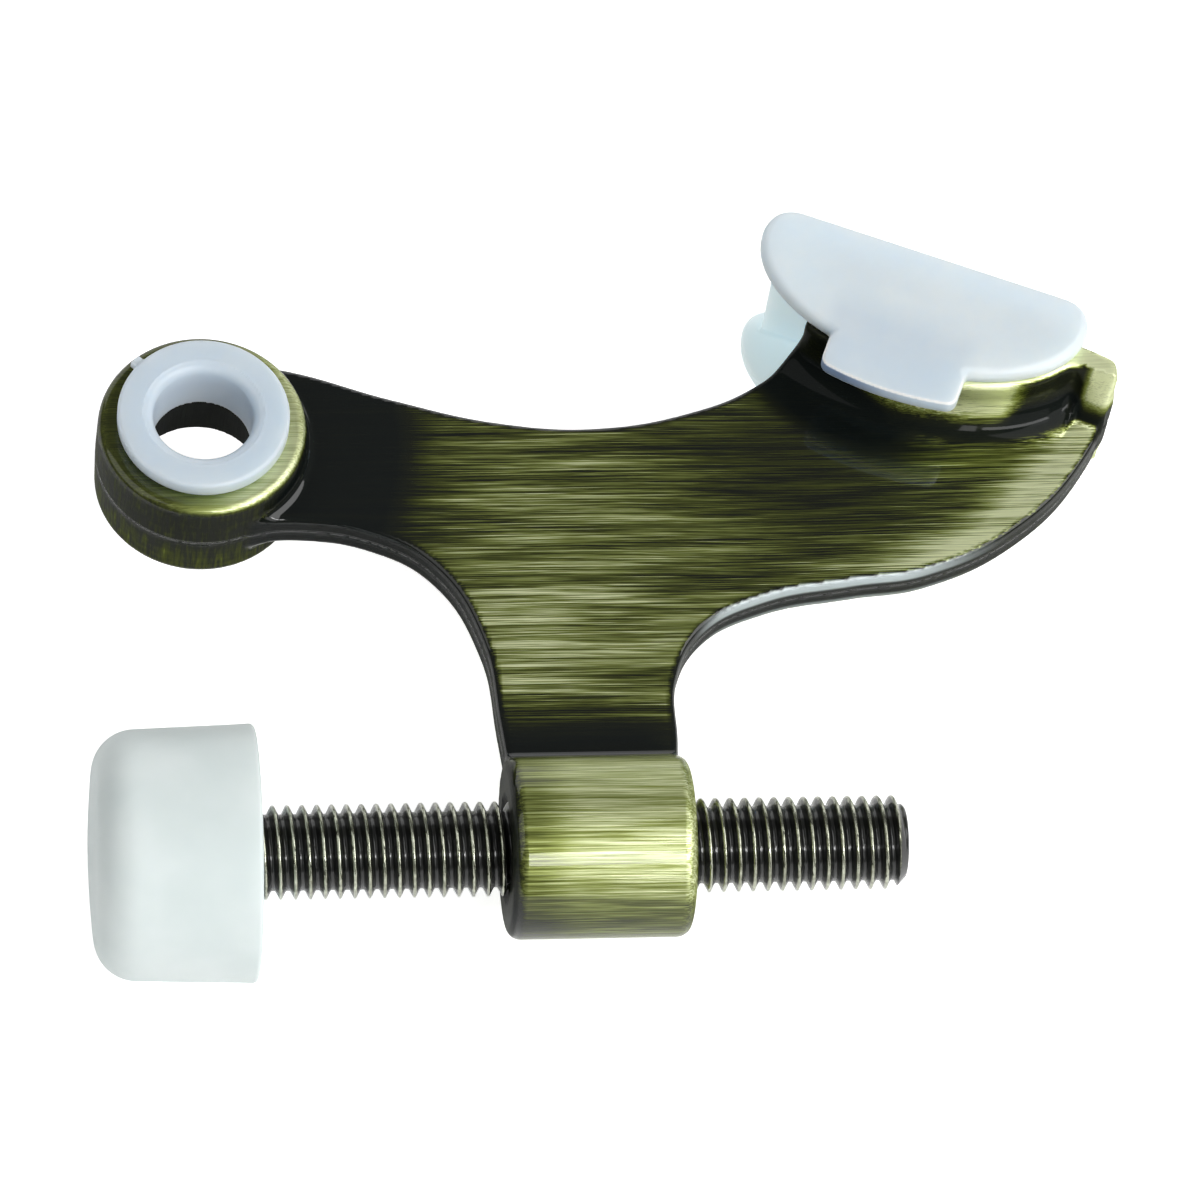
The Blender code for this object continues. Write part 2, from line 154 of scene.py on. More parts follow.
PAD_ARC_DEPTH = 8.75
PAD_ARC_CENTRE_DEPTH = 1.9
PAD_BACK = 0.7
PAD_CORNER = 2.8
PAD_HALF_HEIGHT = 8.95
PAD_FLANGE_THICKNESS = 1.5
PAD_FLANGE_EDGE = 0.8
PAD_INNER_EDGE = 0.25
PAD_TAB_EDGE = 0.3
PAD_TAB_EDGE_FROM = (-9.6, -10.6)   # the flange's rounded rim sharpens between these depths
PAD_BACK_EDGE_FROM = (-1.4, 0.2)    # and again between these
PAD_PLATE_THICKNESS = 1.8
PAD_PLATE_HALF_WIDTH = 13.3
PAD_PLATE_OVERLAP = 0.3        # how far the plate goes into each flange
PAD_PLATE_EDGE = 0.1
PAD_PLATE_JOIN = 0.35
PAD_TAB_HALF_WIDTH = 6.15
PAD_TAB_CORNER = 0.9
PAD_TAB_REACH = 3.4
PAD_CATCH = (4.7, 0.55, 0.9)   # half width, half depth, height
PAD_CATCH_DEPTH = 11.75        # depth of the catch's middle
PAD_CATCH_EDGE = 0.2

# Lowest corner, highest corner and cell of the grid that each surface is made on
CASTING_GRID = ((-9.6, -48.0, -8.0), (82.6, 15.8, 8.0), 0.32)
BUSH_GRID = ((-9.0, -9.0, 0.9), (9.0, 9.0, 7.5), 0.17)
PAD_GRID = ((47.0, -2.4, -9.5), (81.0, 21.5, 9.5), 0.19)
SLOPE_STEP = 0.03              # half step for a slope, while points settle on the surface
NORMAL_STEP = 0.05             # half step for a normal, a little smoother
SETTLE_TIMES = 4

# Web outline, all the way round: a smooth curve through the "AUTO" points, and corners
# that are buried in the eye, the boss or the seat at the "VECTOR" points
WEB_OUTLINE = [
    (1.6, 8.6, "VECTOR"), (7.6, 7.7, "AUTO"), (16.8, 4.6, "AUTO"), (26.1, 2.1, "AUTO"),
    (34.7, 1.5, "AUTO"), (43.4, 3.2, "AUTO"), (47.8, 5.1, "AUTO"), (51.9, 8.2, "AUTO"),
    (56.0, 12.4, "VECTOR"), (74.9, 5.8, "VECTOR"),
    (78.8, 4.1, "AUTO"), (79.2, 1.5, "AUTO"), (77.3, -2.7, "AUTO"), (70.7, -9.6, "AUTO"),
    (62.2, -13.8, "AUTO"), (55.6, -14.8, "AUTO"), (47.8, -16.3, "AUTO"), (42.4, -19.2, "AUTO"),
    (39.8, -24.0, "AUTO"), (39.5, -30.0, "AUTO"), (39.0, -35.0, "VECTOR"),
    (24.6, -35.0, "VECTOR"), (23.9, -27.6, "AUTO"), (23.0, -20.0, "AUTO"),
    (19.2, -12.5, "AUTO"), (14.0, -9.3, "AUTO"), (8.2, -8.2, "AUTO"), (3.7, -8.4, "VECTOR"),
]
CURVE_STEPS = 14               # between two points of the web's outline

# ---------------------------------------------------------------- looks, light and camera

# Amount, centre and size of the web's brighter and darker patches
WEB_PATCHES = [
    (0.20, (28.0, -14.0), (8.0, 13.0)), (0.08, (37.0, -8.0), (7.0, 6.0)),
    (-0.20, (50.0, -1.0), (10.0, 5.0)), (-0.14, (55.0, -8.0), (9.0, 5.0)),
]
# Reach in mm and weight of each look outwards for a hollow's walls
HOLLOW_REACHES = [(1.0, 0.35), (2.5, 0.4), (5.0, 0.25)]
PATINA_TO_BRASS = [
    (0.0, (0.004, 0.006, 0.006)), (0.2, (0.013, 0.015, 0.008)), (0.45, (0.094, 0.110, 0.022)),
    (0.7, (0.33, 0.38, 0.11)), (1.0, (0.95, 1.0, 0.63)),
]
ROOT_TO_CREST = [
    (0.0, (0.005, 0.006, 0.005)), (0.3, (0.022, 0.024, 0.016)), (0.6, (0.23, 0.24, 0.17)),
    (1.0, (0.80, 0.83, 0.67)),
]
# Colour of the painted highlight along the wing's lower edge
PAINTED_EDGE_HIGHLIGHT = (0.62, 0.70, 0.72, 1.0)
BRASS_EDGE_TINT = (0.40, 0.42, 0.28, 1.0)
NYLON_DIM, NYLON_PALE = (0.70, 0.80, 0.89, 1.0), (0.74, 0.83, 0.90, 1.0)
# Dark blue for the bush's darker tone and for painted shade, and white for painted rim highlights
NYLON_SHADE, NYLON_PAINTED_RIM_HIGHLIGHT = (0.10, 0.17, 0.34, 1.0), (0.97, 0.98, 1.0, 1.0)
# Colour and strength of the nylon's painted glow
NYLON_GLOW = (0.80, 0.95, 0.90, 1.0)
NYLON_GLOW_STRENGTH = 0.3
RUBBER_DIM, RUBBER_PALE = (0.71, 0.79, 0.78, 1.0), (0.78, 0.85, 0.84, 1.0)
WHITE = (1.0, 1.0, 1.0, 1.0)
FLOOR_COLOUR = (0.9, 0.9, 0.9, 1.0)
FLOOR_GLOW = (0.15, 0.8)       # for other rays and for the camera's
WORLD_GLOW = (0.12, 1.0)       # the same
FLOOR_HALF_SIZE = 2.5          # m
FLOOR_GAP = 0.0002             # m below the object

CAMERA_AIM = (33.76, -15.08, 0.0)
CAMERA_AZIMUTH, CAMERA_ELEVATION, CAMERA_ROLL = -13.016, 59.535, 10.492      # degrees
CAMERA_DISTANCE = 0.6324       # m
CAMERA_LENS, CAMERA_SENSOR = 220.65, 36.0      # mm
CAMERA_CLIP = (0.01, 20.0)     # m

# Name, azimuth and elevation in degrees, distance, width and height in m, and radiance
SOFTBOXES = [
    ("right", 75, 48, 0.95, 0.8, 0.8, 2.8), ("left", -82, 46, 0.95, 0.8, 0.8, 0.95),
    ("back", 180, 12, 0.9, 1.6, 0.75, 1.0), ("front", 32, 29, 0.95, 0.55, 0.62, 1.3),
]
# Name, start and end along X in mm, height in m, and radiance
STRIP_LIGHTS = [("flash", 94, 162, 0.22, 8.5), ("strip", 190, 700, 0.11, 14.0)]
STRIP_Y, STRIP_Z = -574.0, 586.0

# ---------------------------------------------------------------- distance fields


def rounded(across, over, edge):
    """Distance to an outline with a height. across is the distance to the outline, over is
    the height past its flat faces, and edge is the radius of the rim between the two."""
    across = across + edge
    over = over + edge
    return (np.minimum(np.maximum(across, over), 0.0)
            + np.hypot(np.maximum(across, 0.0), np.maximum(over, 0.0)) - edge)


def join(first, second, radius):
    """Both shapes, with a hollow of that radius where they meet."""
    return (np.maximum(radius, np.minimum(first, second))
            - np.hypot(np.maximum(radius - first, 0.0), np.maximum(radius - second, 0.0)))


def cut(shape, tool, radius):
    """The shape less the tool, with a rounded rim of that radius."""
    return -join(-shape, tool, radius)


def ramp(value, start, end):
    """0 before start, 1 after end and smooth between them; start may be the larger."""
    share = np.clip((value - start) / (end - start), 0.0, 1.0)
    return share * share * (3.0 - 2.0 * share)


def blend(under, over, share):
    return under * (1 - share) + over * share


def blob(x, y, centre, size):
    """1 at the centre and fading to 0 round it."""
    return np.exp(-((x - centre[0]) / size[0]) ** 2 - ((y - centre[1]) / size[1]) ** 2)


class Outline:
    """Signed distance to a closed outline in a plane, kept on a grid and read smoothly. soften
    rounds the outline's corners."""

    MARGIN = 4.0
    STEP = 0.25

    def __init__(self, points, soften):
        points = np.array(points)
        self.low = points.min(0) - self.MARGIN
        size = np.ceil((points.max(0) + self.MARGIN - self.low) / self.STEP).astype(int) + 1
        x = self.low[0] + self.STEP * np.arange(size[0])
        self.values = np.stack([
            self.measure(np.full(size[1], at), self.low[1] + self.STEP * np.arange(size[1]), points)
            for at in x])
        reach = int(3 * soften / self.STEP) + 1
        weights = np.exp(-0.5 * (np.arange(-reach, reach + 1) * self.STEP / soften) ** 2)
        weights /= weights.sum()
        for axis in (0, 1):
            self.values = np.apply_along_axis(
                lambda line: np.convolve(np.pad(line, reach, mode="edge"), weights, "valid"),
                axis, self.values)

    @staticmethod
    def measure(x, y, points):
        """Distance from each place to the polygon, negative inside it."""
        ends = np.roll(points, -1, axis=0)
        run = ends - points
        dx = x[:, None] - points[None, :, 0]
        dy = y[:, None] - points[None, :, 1]
        share = np.clip((dx * run[:, 0] + dy * run[:, 1]) / (run ** 2).sum(1), 0.0, 1.0)
        near = np.hypot(dx - share * run[:, 0], dy - share * run[:, 1]).min(1)
        above = points[:, 1] > y[:, None]
        crosses = above != (ends[:, 1] > y[:, None])
        rise = np.where(run[:, 1] == 0.0, 1.0, run[:, 1])
        left = dx < dy * run[:, 0] / rise
        inside = (crosses & left).sum(1) % 2 == 1
        return np.where(inside, -near, near)

    def __call__(self, x, y):
        place = [(x - self.low[0]) / self.STEP, (y - self.low[1]) / self.STEP]
        last = [size - 3.0 for size in self.values.shape]
        held = [np.clip(at, 1.0, end) for at, end in zip(place, last)]
        outside = self.STEP * np.hypot(place[0] - held[0], place[1] - held[1])
        cell = [np.floor(at).astype(int) for at in held]
        weights = [self.cubic(at - whole) for at, whole in zip(held, cell)]
        total = 0.0
        for i in range(4):
            row = sum(weights[1][j] * self.values[cell[0] + i - 1, cell[1] + j - 1]
                      for j in range(4))
            total = total + weights[0][i] * row
        return total + outside

    @staticmethod
    def cubic(t):
        """Weights of the four grid values round a place, for a smooth curve through them."""
        return (-0.5 * t + t * t - 0.5 * t ** 3, 1 - 2.5 * t * t + 1.5 * t ** 3,
                0.5 * t + 2 * t * t - 1.5 * t ** 3, -0.5 * t * t + 0.5 * t ** 3)


def smooth_outline(points):
    """The points on a closed curve with automatic or straight handles."""
    curve = bpy.data.curves.new("outline", "CURVE")
    curve.dimensions = "3D"
    curve.resolution_u = CURVE_STEPS
    spline = curve.splines.new("BEZIER")
    spline.bezier_points.add(len(points) - 1)
    for knot, (x, y, handle) in zip(spline.bezier_points, points):
        knot.co = (x, y, 0.0)
        knot.handle_left_type = handle
        knot.handle_right_type = handle
    spline.use_cyclic_u = True
    item = bpy.data.objects.new("outline", curve)
    bpy.context.scene.collection.objects.link(item)
    evaluated = item.evaluated_get(bpy.context.evaluated_depsgraph_get())
    path = [(vert.co.x, vert.co.y) for vert in evaluated.to_mesh().vertices]
    bpy.data.objects.remove(item, do_unlink=True)
    return path


def curve_depth(across, grow=0.0):
    """Depth of the flange's curved front edge, this far across from its middle."""
    share = min(1.0, abs(across) / (PAD_HALF_WIDTH + grow))
    return PAD_ARC_CENTRE_DEPTH + (PAD_ARC_DEPTH + grow) * math.sqrt(1.0 - share * share)


def flange_points():
    """The D of a flange with its tab, in the seat's frame."""
    side, reach = PAD_TAB_HALF_WIDTH, PAD_TAB_REACH
    left = []
    for step in range(9):                       # the back corner
        turn = math.radians(90 + 90 * step / 8)
        left.append((-(PAD_HALF_WIDTH - PAD_CORNER) + PAD_CORNER * math.cos(turn),
                     (PAD_ARC_CENTRE_DEPTH + PAD_BACK) * math.sin(turn) - PAD_ARC_CENTRE_DEPTH))
    tab_start = math.acos(side / PAD_HALF_WIDTH)
    for step in range(1, 25):                   # the curved front, as far as the tab
        across = PAD_HALF_WIDTH * math.cos(tab_start * step / 24)
        left.append((-across, -curve_depth(across)))
    inner = side - PAD_TAB_CORNER
    for step in range(6):                       # the tab's corner
        turn = math.radians(90 * step / 5)
        left.append((-inner - PAD_TAB_CORNER * math.cos(turn),
                     PAD_TAB_CORNER * (1 - math.sin(turn)) - curve_depth(inner, reach)))
    for step in range(1, 9):                    # the tab's front, as far as the middle
        across = -inner + inner * step / 8
        left.append((across, -curve_depth(across, reach)))
    return left + [(-x, y) for x, y in reversed(left[:-1])]


def seat_points():
    """The raised seat, in its own frame: a back, a curved front and a rim at the wing's tip."""
    points = [(SEAT_BACK_END, -SEAT_BACK_DEPTH), (SEAT_LEFT, -SEAT_BACK_DEPTH)]
    for step in range(37):
        across = SEAT_LEFT + (SEAT_RIGHT - SEAT_LEFT) * step / 36
        points.append((across, -curve_depth(across, SEAT_LIP)))
    return points + SEAT_RIM


def to_seat(x, y):
    """Row-frame x and y in the seat's frame."""
    dx, dy = x - SEAT_CENTRE[0], y - SEAT_CENTRE[1]
    cos, sin = math.cos(SEAT_TURN), math.sin(SEAT_TURN)
    return dx * cos + dy * sin, dy * cos - dx * sin


web_outline = Outline(smooth_outline(WEB_OUTLINE), soften=0.3)
seat_outline = Outline(seat_points(), soften=0.35)
flange_outline = Outline(flange_points(), soften=0.2)


def parting_notch(z):
    return PARTING_DEPTH * np.maximum(0.0, 1.0 - np.abs(z) / PARTING_HALF_WIDTH)


def web_distance(x, y, z):
    return rounded(web_outline(x, y) + parting_notch(z), np.abs(z) - WEB_HALF_THICKNESS, WEB_EDGE)


def eye_distance(x, y, z):
    tall = np.abs(z)
    wall = np.hypot(x, y) - EYE_RADIUS + EYE_DRAFT * tall + parting_notch(z)
    return rounded(wall, tall - EYE_HALF_HEIGHT, EYE_EDGE)


def boss_distance(x, y, z):
    return rounded(np.hypot(y - STUD_AXIS_Y, z) - BOSS_RADIUS,
                   np.abs(x - BOSS_MIDDLE_X) - BOSS_HALF_LENGTH, BOSS_EDGE)


def seat_distance(x, y, z):
    """The seat is full height over its back, and its rim falls to the web at the tip."""
    u, v = to_seat(x, y)
    fall = SEAT_RIM_FALL * np.maximum(0.0, -v - SEAT_RIM_DEPTH) * ramp(u, *SEAT_RIM_START)
    return rounded(seat_outline(u, v), np.abs(z) - SEAT_HALF_HEIGHT + fall, SEAT_EDGE)


def wing_distance(x, y, z):
    """Web and seat, with a hollow at the seat's foot that stays inside their outlines."""
    plan = join(web_outline(x, y), seat_outline(*to_seat(x, y)), SEAT_JOIN) + parting_notch(z)
    wing = join(web_distance(x, y, z), seat_distance(x, y, z), SEAT_FOOT)
    return cut(wing, -plan, WEB_EDGE)


def casting_distance(x, y, z):
    body = join(wing_distance(x, y, z), eye_distance(x, y, z), EYE_JOIN)
    body = join(body, boss_distance(x, y, z), BOSS_JOIN)
    v = to_seat(x, y)[1]
    body = cut(body, -(v + SEAT_BACK_DEPTH), SEAT_BACK_EDGE)
    body = cut(body, np.hypot(x, y) - EYE_BORE_RADIUS, EYE_BORE_EDGE)
    past_end = np.clip(np.abs(x - BOSS_MIDDLE_X) - BOSS_HALF_LENGTH + BOSS_COUNTERSINK,
                       0.0, BOSS_COUNTERSINK)
    bore = np.hypot(y - STUD_AXIS_Y, z) - BOSS_BORE_RADIUS - past_end
    return np.maximum(body, -bore)


def bush_distance(x, y, z):
    out = np.hypot(x, y)
    flange_middle = BUSH_TOP - BUSH_FLANGE_THICKNESS / 2
    flange = rounded(out - BUSH_FLANGE_RADIUS,
                     np.abs(z - flange_middle) - BUSH_FLANGE_THICKNESS / 2, BUSH_FLANGE_EDGE)
    sleeve_middle = BUSH_TOP - BUSH_LENGTH / 2
    sleeve = rounded(out - BUSH_SLEEVE_RADIUS, np.abs(z - sleeve_middle) - BUSH_LENGTH / 2,
                     BUSH_SLEEVE_EDGE)
    cos, sin = math.cos(BUSH_GATE_ANGLE), math.sin(BUSH_GATE_ANGLE)
    along, across = x * cos + y * sin, y * cos - x * sin
    side = np.maximum(np.abs(across) - BUSH_GATE_HALF_WIDTH,
                      np.maximum(along - BUSH_GATE_END, BUSH_GATE_START - along))
    gate = rounded(side, np.abs(z - BUSH_TOP + BUSH_GATE_DROP) - BUSH_GATE_HALF_HEIGHT,
                   BUSH_GATE_EDGE)
    bush = join(join(flange, sleeve, BUSH_SLEEVE_EDGE), gate, BUSH_SLEEVE_EDGE)
    past_mouth = np.maximum(0.0, z - BUSH_TOP + BUSH_LEAD_IN)
    mouth = BUSH_LEAD_IN - np.sqrt(np.maximum(0.0, BUSH_LEAD_IN ** 2 - past_mouth ** 2))
    return np.maximum(bush, BUSH_BORE_RADIUS + mouth - out)


def pad_distance(x, y, z):
    u, v = to_seat(x, y)
    tall = np.abs(z)
    inner = PAD_HALF_HEIGHT - PAD_FLANGE_THICKNESS
    edge = blend(PAD_FLANGE_EDGE, PAD_TAB_EDGE, ramp(v, *PAD_TAB_EDGE_FROM))
    edge = blend(edge, PAD_TAB_EDGE, ramp(v, *PAD_BACK_EDGE_FROM))
    flange = rounded(flange_outline(u, v), tall - PAD_HALF_HEIGHT, edge)
    flange = cut(flange, tall - inner, PAD_INNER_EDGE)
    plate_middle = (PAD_BACK - PAD_PLATE_THICKNESS) / 2
    plate = rounded(np.maximum(np.abs(u) - PAD_PLATE_HALF_WIDTH,
                               np.abs(v - plate_middle) - (PAD_BACK + PAD_PLATE_THICKNESS) / 2),
                    tall - inner - PAD_PLATE_OVERLAP, PAD_PLATE_EDGE)
    half_width, half_depth, height = PAD_CATCH
    catch = rounded(np.maximum(np.abs(u) - half_width, np.abs(v + PAD_CATCH_DEPTH) - half_depth),
                    np.abs(tall - inner) - height, PAD_CATCH_EDGE)
    return join(join(flange, plate, PAD_PLATE_JOIN), catch, PAD_CATCH_EDGE)


# ---------------------------------------------------------------- meshes

def gradient(distance, points, step):
    """Slope of the distance along each axis, at each point."""
    slopes = []
    for axis in range(3):
        shift = np.zeros(3)
        shift[axis] = step
        slopes.append((distance(*(points + shift).T) - distance(*(points - shift).T)) / (2 * step))
    return np.stack(slopes, axis=1)


def crossing_middles(field, cells):
    """For each cell, the middle of the places where the surface crosses its edges, counted
    in cells from the grid's lowest corner."""
    total, hits = np.zeros((len(cells), 3)), np.zeros((len(cells), 1))
    for axis in range(3):
        others = [k for k in range(3) if k != axis]
        for a in (0, 1):
            for b in (0, 1):
                start = np.zeros(3, int)
                start[others[0]], start[others[1]] = a, b
                end = start.copy()
                end[axis] = 1
                first, second = field[tuple((cells + start).T)], field[tuple((cells + end).T)]
                crossing = (first < 0.0) != (second < 0.0)
                share = np.where(crossing, first / np.where(crossing, first - second, 1.0), 0.0)
                place = start + share[:, None] * (end - start)
                total += crossing[:, None] * place
                hits += crossing[:, None]
    return cells + total / hits


def crossing_quads(inside, number):
    """A quad round each grid edge that the surface crosses, out of the points of the four
    cells beside it. number says which point is each cell's."""
    quads = []
    for axis in range(3):
        i, j = [(1, 2), (2, 0), (0, 1)][axis]
        span = [slice(1, length - 1) for length in inside.shape]
        span[axis] = slice(0, inside.shape[axis] - 1)
        after = list(span)
        after[axis] = slice(1, inside.shape[axis])
        leaving = inside[tuple(span)] & ~inside[tuple(after)]
        entering = ~inside[tuple(span)] & inside[tuple(after)]
        base = np.array([part.start for part in span])
        for flags, flip in ((leaving, False), (entering, True)):
            at = np.argwhere(flags) + base
            ring = []
            for a, b in ((0, 0), (1, 0), (1, 1), (0, 1)):
                corner = at.copy()
                corner[:, i] -= 1 - a
                corner[:, j] -= 1 - b
                ring.append(number[tuple(corner.T)])
            if flip:
                ring.reverse()
            quads.append(np.stack(ring, axis=1))
    return np.concatenate(quads)


def surface_net(distance, low, high, cell):
    """Points, quads and normals of the surface where the distance is 0. Each grid cell that
    the surface crosses gets one point, which is then moved onto the surface."""
    low, high = np.array(low, float), np.array(high, float)
    size = np.ceil((high - low) / cell).astype(int) + 1
    low = (low + high - (size - 1) * cell) / 2
    axes = [low[k] + cell * np.arange(size[k]) for k in range(3)]
    y, z = np.meshgrid(axes[1], axes[2], indexing="ij")
    field = np.stack([distance(np.full(y.shape, x), y, z) for x in axes[0]])
    inside = field < 0.0
    count = sum(inside[a:size[0] - 1 + a, b:size[1] - 1 + b, c:size[2] - 1 + c].astype(int)
                for a in (0, 1) for b in (0, 1) for c in (0, 1))
    mixed = (count > 0) & (count < 8)
    cells = np.argwhere(mixed)
    number = np.full(mixed.shape, -1)
    number[mixed] = np.arange(len(cells))

    points = low + cell * crossing_middles(field, cells)
    quads = crossing_quads(inside, number)
    for _ in range(SETTLE_TIMES):
        slope = gradient(distance, points, SLOPE_STEP)
        away = distance(*points.T)
        move = away / np.maximum(0.2, (slope ** 2).sum(1))
        points = points - slope * np.clip(move, -0.5 * cell, 0.5 * cell)[:, None]
    normals = gradient(distance, points, NORMAL_STEP)
    normals /= np.linalg.norm(normals, axis=1)[:, None] + 1e-9
    return points, quads, normals


def mesh_object(name, points, faces, normals=None):
    mesh = bpy.data.meshes.new(name)
    mesh.from_pydata((np.array(points) * MM).tolist(), [], [tuple(face) for face in faces])
    mesh.shade_smooth()
    if normals is not None:
        mesh.normals_split_custom_set_from_vertices(normals.tolist())
    item = bpy.data.objects.new(name, mesh)
    bpy.context.scene.collection.objects.link(item)
    return item


def set_attribute(item, name, values):
    layer = item.data.attributes.new(name, "FLOAT", "POINT")
    layer.data.foreach_set("value", np.asarray(values, np.float32))


def rings_object(name, rings):
    """A skin over rings of points round the stud's axis, with a flat facet at each end. rings
    is (rings, steps, 3)."""
    rings = np.array(rings)
    count, steps = rings.shape[:2]
    points = rings.reshape(-1, 3)
    first = np.arange(count - 1)[:, None] * steps + np.arange(steps)[None, :]
    beside = np.arange(count - 1)[:, None] * steps + (np.arange(steps)[None, :] + 1) % steps
    faces = np.stack([first, beside, beside + steps, first + steps], axis=2).reshape(-1, 4).tolist()
    faces.append(list(range(steps))[::-1])
    faces.append(list(range((count - 1) * steps, count * steps)))
    return mesh_object(name, points, faces)


def ring(x, radius, angles):
    """A ring of points round the stud's axis; radius is a number or one number a point."""
    radius = radius * np.ones_like(angles)
    return np.stack([x * np.ones_like(angles), STUD_AXIS_Y - radius * np.sin(angles),
                     radius * np.cos(angles)], axis=1)


def arc(centre, radius, start, end, steps):
    """Points on an arc between two angles in degrees."""
    turns = np.radians(np.linspace(start, end, steps + 1))
    return [(centre[0] + radius * math.cos(turn), centre[1] + radius * math.sin(turn))
            for turn in turns]


# ---------------------------------------------------------------- nodes for materials

class Nodes:
    """Short calls for building one material's node tree."""

    def __init__(self, name):
        self.material = bpy.data.materials.new(name)
        self.material.use_nodes = True
        self.tree = self.material.node_tree
        self.tree.nodes.clear()
        self.shader = self.add("ShaderNodeBsdfPrincipled")
        output = self.add("ShaderNodeOutputMaterial")
        self.link(self.shader.outputs[0], output.inputs["Surface"])
        place = self.add("ShaderNodeTexCoord").outputs["Object"]
        self.place = self.vector("SCALE", place, scale=1.0 / MM)

    def add(self, kind, **settings):
        node = self.tree.nodes.new(kind)
        for key, value in settings.items():
            setattr(node, key, value)
        return node

    def link(self, source, target):
        self.tree.links.new(source, target)

    def put(self, value, socket):
        if isinstance(value, bpy.types.NodeSocket):
            self.link(value, socket)
        else:
            socket.default_value = value

    def math(self, operation, *values, clamp=False):
        node = self.add("ShaderNodeMath", operation=operation, use_clamp=clamp)
        for value, socket in zip(values, node.inputs):
            self.put(value, socket)
        return node.outputs[0]

    def vector(self, operation, *values, scale=None):
        node = self.add("ShaderNodeVectorMath", operation=operation)
        for value, socket in zip(values, node.inputs):
            self.put(value, socket)
        if scale is not None:
            self.put(scale, node.inputs["Scale"])
        return node.outputs["Vector"]

    def noise(self, place, stretch=(1.0, 1.0, 1.0), scale=1.0, detail=2.0, rough=0.5):
        node = self.add("ShaderNodeTexNoise")
        self.link(self.vector("MULTIPLY", place, stretch), node.inputs["Vector"])
        node.inputs["Scale"].default_value = scale
        node.inputs["Detail"].default_value = detail
        node.inputs["Roughness"].default_value = rough
        return node.outputs["Fac"]

    def span(self, value, start, end, low=0.0, high=1.0):
        node = self.add("ShaderNodeMapRange", interpolation_type="SMOOTHSTEP")
        for socket, number in zip(node.inputs, (value, start, end, low, high)):
            self.put(number, socket)
        return node.outputs[0]

    def swing(self, noise, size):
        """A noise's swing to both sides of its middle, times size."""
        return self.math("MULTIPLY", self.math("SUBTRACT", noise, 0.5), size)

    def attribute(self, name):
        return self.add("ShaderNodeAttribute", attribute_name=name).outputs["Fac"]

    def ramp(self, value, stops):
        node = self.add("ShaderNodeValToRGB")
        points = node.color_ramp.elements
        while len(points) < len(stops):
            points.new(1.0)
        for point, (place, colour) in zip(points, stops):
            point.position = place
            point.color = (*colour, 1.0)
        self.link(value, node.inputs[0])
        return node.outputs[0]

    def mix(self, share, first, second):
        node = self.add("ShaderNodeMix", data_type="FLOAT")
        for socket, value in zip((node.inputs[0], node.inputs[2], node.inputs[3]),
                                 (share, first, second)):
            self.put(value, socket)
        return node.outputs[0]

    def mix_colour(self, share, first, second):
        node = self.add("ShaderNodeMix", data_type="RGBA")
        for socket, value in zip((node.inputs[0], node.inputs[6], node.inputs[7]),
                                 (share, first, second)):
            self.put(value, socket)
        return node.outputs[2]

    def bump(self, height, distance, strength=1.0):
        node = self.add("ShaderNodeBump")
        node.inputs["Distance"].default_value = distance * MM
        node.inputs["Strength"].default_value = strength
        self.link(height, node.inputs["Height"])
        self.link(node.outputs[0], self.shader.inputs["Normal"])

    def set(self, **values):
        for key, value in values.items():
            self.put(value, self.shader.inputs[key.replace("_", " ")])


def brass_material():
    """Relieved antique brass: polished streaks over a dark patina, under clear lacquer, with
    painted highlights and painted shade in the colour.
    """
    nodes = Nodes("antique_brass_lacquered")
    # The brush marks run along X and sway a little; on the walls they run upright
    sway = nodes.noise(nodes.place, scale=0.03, detail=1.0)
    waver = nodes.add("ShaderNodeCombineXYZ")
    nodes.link(nodes.math("MULTIPLY", sway, 0.7), waver.inputs["Y"])
    place = nodes.vector("ADD", nodes.place, waver.outputs[0])
    along = nodes.noise(place, (0.10, 8.0, 8.0), detail=3.0, rough=0.65)
    broad = nodes.noise(place, (0.07, 1.3, 1.3), detail=2.0)
    scratch = nodes.noise(place, (0.12, 12.0, 12.0), detail=1.0)
    upright = nodes.noise(nodes.place, (3.5, 3.5, 0.3), detail=4.0, rough=0.6)
    wall = nodes.attribute("wall_grain")
    grain = nodes.mix(wall, along, upright)
    glint = nodes.mix(wall, scratch, upright)
    # How far the brass is polished back from its patina, with painted highlights and painted shade
    # mixed in.
    polish_and_painted_light = nodes.attribute("polish_and_painted_light")
    streak = nodes.math("ADD", nodes.swing(grain, 2.0), nodes.swing(broad, 0.9))
    reach = nodes.math("MULTIPLY", nodes.span(polish_and_painted_light, 0.0, 0.45, 0.12, 1.0),
                       nodes.span(nodes.attribute("calm"), 0.0, 1.0, 1.0, 0.25))
    level = nodes.math("ADD", polish_and_painted_light, nodes.math("MULTIPLY", streak, reach))
    bright = nodes.math("MULTIPLY", nodes.span(glint, 0.62, 0.74), reach)
    level = nodes.math("ADD", level, nodes.math("MULTIPLY", bright, 0.3), clamp=True)
    colour = nodes.ramp(level, PATINA_TO_BRASS)
    # Painted highlight: a pale blue-grey line along the wing's lower edge.
    colour = nodes.mix_colour(nodes.attribute("painted_edge_highlight"), colour, PAINTED_EDGE_HIGHLIGHT)
    nodes.set(Base_Color=colour, Metallic=nodes.span(level, 0.05, 0.4, 0.25, 1.0),
              Roughness=nodes.span(level, 0.0, 0.6, 0.55, 0.48), Specular_IOR_Level=0.1,
              Specular_Tint=BRASS_EDGE_TINT,
              Coat_Weight=nodes.attribute("lacquer"), Coat_Roughness=0.05, Coat_IOR=1.5)
    nodes.bump(grain, 0.04)
    return nodes.material


